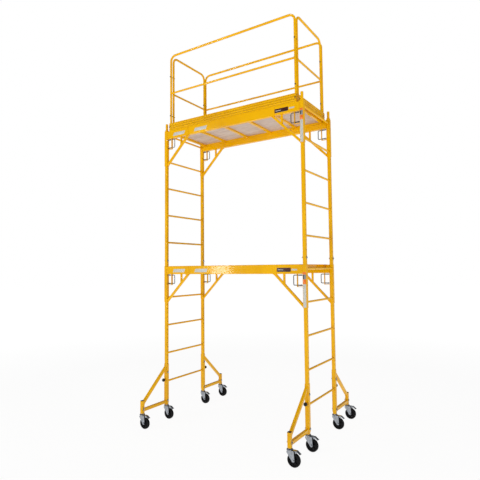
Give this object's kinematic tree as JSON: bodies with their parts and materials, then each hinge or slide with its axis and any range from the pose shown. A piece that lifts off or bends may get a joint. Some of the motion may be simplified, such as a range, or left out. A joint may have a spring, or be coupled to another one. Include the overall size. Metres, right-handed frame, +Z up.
{
  "type": "baker scaffold",
  "caption": "Two-tier rolling baker scaffold with two height-adjustable platforms, toe boards, guardrails, outriggers and swivel casters.",
  "frame": {"origin": "on the floor under the middle of the whole scaffold, casters included", "axes": "+X along the platforms, +Y across them towards the rear, +Z up"},
  "size_m": [1.995, 1.5778, 4.4657],
  "materials": {
    "yellow_powder_coat": "glossy safety-yellow powder coat on steel tube",
    "plywood": "sealed hardwood plywood",
    "zinc_steel": "bright zinc-plated pressed steel",
    "plain_steel": "grey zinc-plated rod",
    "black_rubber": "moulded black rubber tread on a black core",
    "black_plastic": "moulded black plastic",
    "dark_bolts": "black-oxide hex bolts"
  },
  "bodies": {
    "tower": {"caster_stems": "zinc_steel", "front_guardrail": "yellow_powder_coat", "front_outriggers": "yellow_powder_coat", "guardrail_bolts": "dark_bolts", "hitch_pins": "zinc_steel", "left_end_guardrail": "yellow_powder_coat", "lock_pin_springs": "zinc_steel", "lower_deck_board": "plywood", "lower_deck_frame": "yellow_powder_coat", "lower_front_side_rail": "yellow_powder_coat", "lower_left_end_frame": "yellow_powder_coat", "lower_rear_side_rail": "yellow_powder_coat", "lower_right_end_frame": "yellow_powder_coat", "outrigger_tube_caps": "black_plastic", "rear_guardrail": "yellow_powder_coat", "rear_outriggers": "yellow_powder_coat", "right_end_guardrail": "yellow_powder_coat", "toe_boards": "yellow_powder_coat", "upper_deck_board": "plywood", "upper_deck_frame": "yellow_powder_coat", "upper_front_side_rail": "yellow_powder_coat", "upper_left_end_frame": "yellow_powder_coat", "upper_rear_side_rail": "yellow_powder_coat", "upper_right_end_frame": "yellow_powder_coat"},
    "front_left_post_caster_fork": {"front_left_post_caster_fork": "zinc_steel"},
    "front_left_post_caster_wheel": {"front_left_post_caster_wheel": "black_rubber"},
    "front_left_post_caster_brake": {"front_left_post_caster_brake": "zinc_steel"},
    "front_left_outrigger_caster_fork": {"front_left_outrigger_caster_fork": "zinc_steel"},
    "front_left_outrigger_caster_wheel": {"front_left_outrigger_caster_wheel": "black_rubber"},
    "front_left_outrigger_caster_brake": {"front_left_outrigger_caster_brake": "zinc_steel"},
    "front_left_outrigger_knob": {"front_left_outrigger_knob": "black_plastic"},
    "front_right_post_caster_fork": {"front_right_post_caster_fork": "zinc_steel"},
    "front_right_post_caster_wheel": {"front_right_post_caster_wheel": "black_rubber"},
    "front_right_post_caster_brake": {"front_right_post_caster_brake": "zinc_steel"},
    "front_right_outrigger_caster_fork": {"front_right_outrigger_caster_fork": "zinc_steel"},
    "front_right_outrigger_caster_wheel": {"front_right_outrigger_caster_wheel": "black_rubber"},
    "front_right_outrigger_caster_brake": {"front_right_outrigger_caster_brake": "zinc_steel"},
    "front_right_outrigger_knob": {"front_right_outrigger_knob": "black_plastic"},
    "rear_left_post_caster_fork": {"rear_left_post_caster_fork": "zinc_steel"},
    "rear_left_post_caster_wheel": {"rear_left_post_caster_wheel": "black_rubber"},
    "rear_left_post_caster_brake": {"rear_left_post_caster_brake": "zinc_steel"},
    "rear_left_outrigger_caster_fork": {"rear_left_outrigger_caster_fork": "zinc_steel"},
    "rear_left_outrigger_caster_wheel": {"rear_left_outrigger_caster_wheel": "black_rubber"},
    "rear_left_outrigger_caster_brake": {"rear_left_outrigger_caster_brake": "zinc_steel"},
    "rear_left_outrigger_knob": {"rear_left_outrigger_knob": "black_plastic"},
    "rear_right_post_caster_fork": {"rear_right_post_caster_fork": "zinc_steel"},
    "rear_right_post_caster_wheel": {"rear_right_post_caster_wheel": "black_rubber"},
    "rear_right_post_caster_brake": {"rear_right_post_caster_brake": "zinc_steel"},
    "rear_right_outrigger_caster_fork": {"rear_right_outrigger_caster_fork": "zinc_steel"},
    "rear_right_outrigger_caster_wheel": {"rear_right_outrigger_caster_wheel": "black_rubber"},
    "rear_right_outrigger_caster_brake": {"rear_right_outrigger_caster_brake": "zinc_steel"},
    "rear_right_outrigger_knob": {"rear_right_outrigger_knob": "black_plastic"},
    "lower_front_left_lock_pin": {"lower_front_left_lock_pin": "plain_steel"},
    "lower_front_right_lock_pin": {"lower_front_right_lock_pin": "plain_steel"},
    "lower_rear_left_lock_pin": {"lower_rear_left_lock_pin": "plain_steel"},
    "lower_rear_right_lock_pin": {"lower_rear_right_lock_pin": "plain_steel"},
    "upper_front_left_lock_pin": {"upper_front_left_lock_pin": "plain_steel"},
    "upper_front_right_lock_pin": {"upper_front_right_lock_pin": "plain_steel"},
    "upper_rear_left_lock_pin": {"upper_rear_left_lock_pin": "plain_steel"},
    "upper_rear_right_lock_pin": {"upper_rear_right_lock_pin": "plain_steel"}
  },
  "joints": [
    {"name": "front_left_post_caster_swivel", "type": "hinge", "parent": "tower", "child": "front_left_post_caster_fork", "pos_m": [-0.9625, -0.358, 0.14], "axis": [0, 0, 1], "continuous": true},
    {"name": "front_left_post_caster_roll", "type": "hinge", "parent": "front_left_post_caster_fork", "child": "front_left_post_caster_wheel", "pos_m": [-0.9225, -0.358, 0.0635], "axis": [0, 1, 0], "continuous": true},
    {"name": "front_left_post_caster_pedal", "type": "hinge", "parent": "front_left_post_caster_fork", "child": "front_left_post_caster_brake", "pos_m": [-0.9215, -0.358, 0.141], "axis": [0, 1, 0], "range_deg": [0, 12]},
    {"name": "front_left_outrigger_caster_swivel", "type": "hinge", "parent": "tower", "child": "front_left_outrigger_caster_fork", "pos_m": [-0.9625, -0.758, 0.14], "axis": [0, 0, 1], "continuous": true},
    {"name": "front_left_outrigger_caster_roll", "type": "hinge", "parent": "front_left_outrigger_caster_fork", "child": "front_left_outrigger_caster_wheel", "pos_m": [-0.9225, -0.758, 0.0635], "axis": [0, 1, 0], "continuous": true},
    {"name": "front_left_outrigger_caster_pedal", "type": "hinge", "parent": "front_left_outrigger_caster_fork", "child": "front_left_outrigger_caster_brake", "pos_m": [-0.9215, -0.758, 0.141], "axis": [0, 1, 0], "range_deg": [0, 12]},
    {"name": "front_left_outrigger_knob_turn", "type": "hinge", "parent": "tower", "child": "front_left_outrigger_knob", "pos_m": [-0.9625, -0.4, 0.458], "axis": [0, -1, 0], "continuous": true},
    {"name": "front_right_post_caster_swivel", "type": "hinge", "parent": "tower", "child": "front_right_post_caster_fork", "pos_m": [0.8875, -0.358, 0.14], "axis": [0, 0, 1], "continuous": true},
    {"name": "front_right_post_caster_roll", "type": "hinge", "parent": "front_right_post_caster_fork", "child": "front_right_post_caster_wheel", "pos_m": [0.9275, -0.358, 0.0635], "axis": [0, 1, 0], "continuous": true},
    {"name": "front_right_post_caster_pedal", "type": "hinge", "parent": "front_right_post_caster_fork", "child": "front_right_post_caster_brake", "pos_m": [0.9285, -0.358, 0.141], "axis": [0, 1, 0], "range_deg": [0, 12]},
    {"name": "front_right_outrigger_caster_swivel", "type": "hinge", "parent": "tower", "child": "front_right_outrigger_caster_fork", "pos_m": [0.8875, -0.758, 0.14], "axis": [0, 0, 1], "continuous": true},
    {"name": "front_right_outrigger_caster_roll", "type": "hinge", "parent": "front_right_outrigger_caster_fork", "child": "front_right_outrigger_caster_wheel", "pos_m": [0.9275, -0.758, 0.0635], "axis": [0, 1, 0], "continuous": true},
    {"name": "front_right_outrigger_caster_pedal", "type": "hinge", "parent": "front_right_outrigger_caster_fork", "child": "front_right_outrigger_caster_brake", "pos_m": [0.9285, -0.758, 0.141], "axis": [0, 1, 0], "range_deg": [0, 12]},
    {"name": "front_right_outrigger_knob_turn", "type": "hinge", "parent": "tower", "child": "front_right_outrigger_knob", "pos_m": [0.8875, -0.4, 0.458], "axis": [0, -1, 0], "continuous": true},
    {"name": "rear_left_post_caster_swivel", "type": "hinge", "parent": "tower", "child": "rear_left_post_caster_fork", "pos_m": [-0.9625, 0.358, 0.14], "axis": [0, 0, 1], "continuous": true},
    {"name": "rear_left_post_caster_roll", "type": "hinge", "parent": "rear_left_post_caster_fork", "child": "rear_left_post_caster_wheel", "pos_m": [-0.9225, 0.358, 0.0635], "axis": [0, 1, 0], "continuous": true},
    {"name": "rear_left_post_caster_pedal", "type": "hinge", "parent": "rear_left_post_caster_fork", "child": "rear_left_post_caster_brake", "pos_m": [-0.9215, 0.358, 0.141], "axis": [0, 1, 0], "range_deg": [0, 12]},
    {"name": "rear_left_outrigger_caster_swivel", "type": "hinge", "parent": "tower", "child": "rear_left_outrigger_caster_fork", "pos_m": [-0.9625, 0.758, 0.14], "axis": [0, 0, 1], "continuous": true},
    {"name": "rear_left_outrigger_caster_roll", "type": "hinge", "parent": "rear_left_outrigger_caster_fork", "child": "rear_left_outrigger_caster_wheel", "pos_m": [-0.9225, 0.758, 0.0635], "axis": [0, 1, 0], "continuous": true},
    {"name": "rear_left_outrigger_caster_pedal", "type": "hinge", "parent": "rear_left_outrigger_caster_fork", "child": "rear_left_outrigger_caster_brake", "pos_m": [-0.9215, 0.758, 0.141], "axis": [0, 1, 0], "range_deg": [0, 12]},
    {"name": "rear_left_outrigger_knob_turn", "type": "hinge", "parent": "tower", "child": "rear_left_outrigger_knob", "pos_m": [-0.9625, 0.4, 0.458], "axis": [0, 1, 0], "continuous": true},
    {"name": "rear_right_post_caster_swivel", "type": "hinge", "parent": "tower", "child": "rear_right_post_caster_fork", "pos_m": [0.8875, 0.358, 0.14], "axis": [0, 0, 1], "continuous": true},
    {"name": "rear_right_post_caster_roll", "type": "hinge", "parent": "rear_right_post_caster_fork", "child": "rear_right_post_caster_wheel", "pos_m": [0.9275, 0.358, 0.0635], "axis": [0, 1, 0], "continuous": true},
    {"name": "rear_right_post_caster_pedal", "type": "hinge", "parent": "rear_right_post_caster_fork", "child": "rear_right_post_caster_brake", "pos_m": [0.9285, 0.358, 0.141], "axis": [0, 1, 0], "range_deg": [0, 12]},
    {"name": "rear_right_outrigger_caster_swivel", "type": "hinge", "parent": "tower", "child": "rear_right_outrigger_caster_fork", "pos_m": [0.8875, 0.758, 0.14], "axis": [0, 0, 1], "continuous": true},
    {"name": "rear_right_outrigger_caster_roll", "type": "hinge", "parent": "rear_right_outrigger_caster_fork", "child": "rear_right_outrigger_caster_wheel", "pos_m": [0.9275, 0.758, 0.0635], "axis": [0, 1, 0], "continuous": true},
    {"name": "rear_right_outrigger_caster_pedal", "type": "hinge", "parent": "rear_right_outrigger_caster_fork", "child": "rear_right_outrigger_caster_brake", "pos_m": [0.9285, 0.758, 0.141], "axis": [0, 1, 0], "range_deg": [0, 12]},
    {"name": "rear_right_outrigger_knob_turn", "type": "hinge", "parent": "tower", "child": "rear_right_outrigger_knob", "pos_m": [0.8875, 0.4, 0.458], "axis": [0, 1, 0], "continuous": true},
    {"name": "lower_front_left_lock_pin_pull", "type": "slide", "parent": "tower", "child": "lower_front_left_lock_pin", "axis": [1, 0, 0], "range_m": [0, 0.025], "stiffness_N_per_m": 300, "springref_m": -0.03, "deforming": ["lock_pin_springs"]},
    {"name": "lower_front_right_lock_pin_pull", "type": "slide", "parent": "tower", "child": "lower_front_right_lock_pin", "axis": [-1, 0, 0], "range_m": [0, 0.025], "stiffness_N_per_m": 300, "springref_m": -0.03, "deforming": ["lock_pin_springs"]},
    {"name": "lower_rear_left_lock_pin_pull", "type": "slide", "parent": "tower", "child": "lower_rear_left_lock_pin", "axis": [1, 0, 0], "range_m": [0, 0.025], "stiffness_N_per_m": 300, "springref_m": -0.03, "deforming": ["lock_pin_springs"]},
    {"name": "lower_rear_right_lock_pin_pull", "type": "slide", "parent": "tower", "child": "lower_rear_right_lock_pin", "axis": [-1, 0, 0], "range_m": [0, 0.025], "stiffness_N_per_m": 300, "springref_m": -0.03, "deforming": ["lock_pin_springs"]},
    {"name": "upper_front_left_lock_pin_pull", "type": "slide", "parent": "tower", "child": "upper_front_left_lock_pin", "axis": [1, 0, 0], "range_m": [0, 0.025], "stiffness_N_per_m": 300, "springref_m": -0.03, "deforming": ["lock_pin_springs"]},
    {"name": "upper_front_right_lock_pin_pull", "type": "slide", "parent": "tower", "child": "upper_front_right_lock_pin", "axis": [-1, 0, 0], "range_m": [0, 0.025], "stiffness_N_per_m": 300, "springref_m": -0.03, "deforming": ["lock_pin_springs"]},
    {"name": "upper_rear_left_lock_pin_pull", "type": "slide", "parent": "tower", "child": "upper_rear_left_lock_pin", "axis": [1, 0, 0], "range_m": [0, 0.025], "stiffness_N_per_m": 300, "springref_m": -0.03, "deforming": ["lock_pin_springs"]},
    {"name": "upper_rear_right_lock_pin_pull", "type": "slide", "parent": "tower", "child": "upper_rear_right_lock_pin", "axis": [-1, 0, 0], "range_m": [0, 0.025], "stiffness_N_per_m": 300, "springref_m": -0.03, "deforming": ["lock_pin_springs"]}
  ]
}
